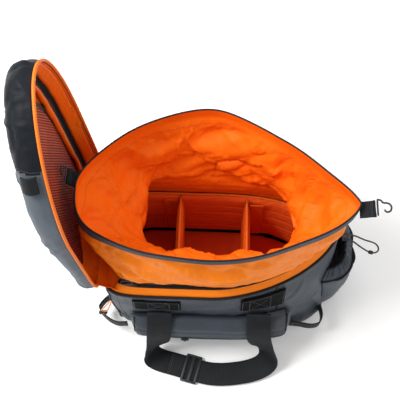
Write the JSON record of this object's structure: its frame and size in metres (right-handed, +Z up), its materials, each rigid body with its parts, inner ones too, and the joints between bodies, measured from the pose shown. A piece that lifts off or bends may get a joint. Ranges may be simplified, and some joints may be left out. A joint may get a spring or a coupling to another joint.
{
  "type": "camera bag",
  "caption": "Soft camera bag with an end-hinged zip lid, roll-out collar, padded divided insert, front pocket, webbing handle and a bottle pocket with drawcord.",
  "frame": {"origin": "on the underside of the base, at the middle of the base panel from front to back, 165 mm from the flat hinge end; the floor is Z = 0", "axes": "+Z up, +X along the bag from the lid's hinge end to the rounded nose, +Y to the back; the handle is on the -Y side"},
  "size_m": [0.5207, 0.333, 0.5459],
  "materials": {
    "shell_grey": "coated tarpaulin, low sheen",
    "base_black": "heavy coated base fabric",
    "lining_orange": "smooth nylon lining, soft sheen",
    "pad_orange": "brushed loop fabric over foam",
    "mesh_brown": "open ribbed mesh",
    "piping_black": "folded binding tape",
    "piping_orange": "corded edge piping",
    "zip_black": "coil zip",
    "webbing_black": "ribbed webbing",
    "plastic_black": "moulded, satin",
    "metal_dark": "black coated wire",
    "metal_grey": "gunmetal",
    "cord_grey": "braided elastic cord",
    "cord_orange": "braided cord",
    "loop_black": "hook-and-loop pile"
  },
  "bodies": {
    "bag": {"base_panel": "base_black", "outer_shell": "shell_grey", "lining": "lining_orange", "insert_floor": "pad_orange", "insert_wall": "pad_orange", "rim_piping": "piping_black", "rim_facing": "lining_orange", "rim_zip": "zip_black", "collar": "lining_orange", "collar_hem": "shell_grey", "front_pocket": "shell_grey", "pocket_zip": "zip_black", "hook_patch": "loop_black", "handle_anchor_left": "webbing_black", "handle_anchor_right": "webbing_black", "bottle_pocket": "shell_grey", "bottle_cuff": "piping_black", "cord_lock_body": "plastic_black", "drawcord": "cord_grey", "cord_bead": "plastic_black", "strap_loop_left": "webbing_black", "strap_loop_right": "webbing_black"},
    "lid": {"lid_shell": "shell_grey", "lid_lining": "lining_orange", "lid_piping": "piping_orange", "lid_tape": "piping_black", "lid_zip": "zip_black", "lid_mesh_pocket": "mesh_brown", "lid_mesh_binding": "piping_black", "lid_light_loop": "webbing_black"},
    "collar_end_left": {"tab_left": "webbing_black"},
    "hook_left": {"hook_left": "metal_dark"},
    "collar_end_right": {"tab_right": "webbing_black"},
    "hook_right": {"hook_right": "metal_dark"},
    "divider_left": {"divider_left": "pad_orange", "divider_left_tab": "pad_orange"},
    "divider_right": {"divider_right": "pad_orange", "divider_right_tab": "pad_orange"},
    "rim_slider": {"rim_slider": "zip_black"},
    "rim_puller": {"rim_puller": "metal_grey"},
    "corner_pull": {"pull_cord": "cord_orange", "pull_grip": "plastic_black"},
    "pocket_slider": {"pocket_slider": "zip_black"},
    "handle": {"handle_webbing": "webbing_black"},
    "handle_slider": {"handle_slider": "plastic_black"},
    "cord_lock_button": {"cord_lock_button": "plastic_black"}
  },
  "joints": [
    {"name": "lid_hinge", "type": "hinge", "parent": "bag", "child": "lid", "pos_m": [-0.1655, -0.08, 0.1905], "axis": [0, 0.9991, -0.0419], "range_deg": [0, 97], "deforming": ["collar", "collar_hem"]},
    {"name": "collar_end_left_fold", "type": "hinge", "parent": "bag", "child": "collar_end_left", "pos_m": [-0.165, 0, 0.195], "axis": [0, 1, 0], "range_deg": [0, 104.76]},
    {"name": "collar_end_right_fold", "type": "hinge", "parent": "bag", "child": "collar_end_right", "pos_m": [0.172, 0, 0.195], "axis": [0, -1, 0], "range_deg": [0, 111.55]},
    {"name": "hook_left_swing", "type": "hinge", "parent": "collar_end_left", "child": "hook_left", "pos_m": [-0.2094, 0.016, 0.3264], "axis": [0, 1, 0], "range_deg": [0, 25]},
    {"name": "hook_right_swing", "type": "hinge", "parent": "collar_end_right", "child": "hook_right", "pos_m": [0.2232, -0.019, 0.3226], "axis": [0, -1, 0], "range_deg": [-15, 20]},
    {"name": "divider_left_slide", "type": "slide", "parent": "bag", "child": "divider_left", "axis": [1, 0, 0], "range_m": [-0.03, 0.02]},
    {"name": "divider_right_slide", "type": "slide", "parent": "bag", "child": "divider_right", "axis": [1, 0, 0], "range_m": [-0.02, 0.012]},
    {"name": "rim_slider_travel", "type": "slide", "parent": "bag", "child": "rim_slider", "axis": [1, 0, 0], "range_m": [0, 0.1]},
    {"name": "rim_puller_swing", "type": "hinge", "parent": "rim_slider", "child": "rim_puller", "pos_m": [-0.1154, -0.0995, 0.2082], "axis": [0, 1, 0], "range_deg": [0, 8]},
    {"name": "corner_pull_swing", "type": "hinge", "parent": "bag", "child": "corner_pull", "pos_m": [-0.149, -0.121, 0.187], "axis": [-1, 0, 0], "range_deg": [0, 50]},
    {"name": "pocket_slider_travel", "type": "slide", "parent": "bag", "child": "pocket_slider", "axis": [1, 0, 0], "range_m": [0, 0.08]},
    {"name": "handle_swing", "type": "hinge", "parent": "bag", "child": "handle", "pos_m": [0, -0.1175, 0.13], "axis": [-1, 0, 0], "range_deg": [0, 120]},
    {"name": "handle_slider_travel", "type": "slide", "parent": "handle", "child": "handle_slider", "axis": [0.971, -0.2392, 0], "range_m": [-0.024, 0.008]},
    {"name": "cord_lock_press", "type": "slide", "parent": "bag", "child": "cord_lock_button", "axis": [1, 0, 0], "range_m": [0, 0.003], "stiffness_N_per_m": 400}
  ],
  "couplings": [
    {"joint": "collar_end_left_fold", "follows": "lid_hinge", "ratio": 1.08},
    {"joint": "collar_end_right_fold", "follows": "lid_hinge", "ratio": 1.15}
  ]
}
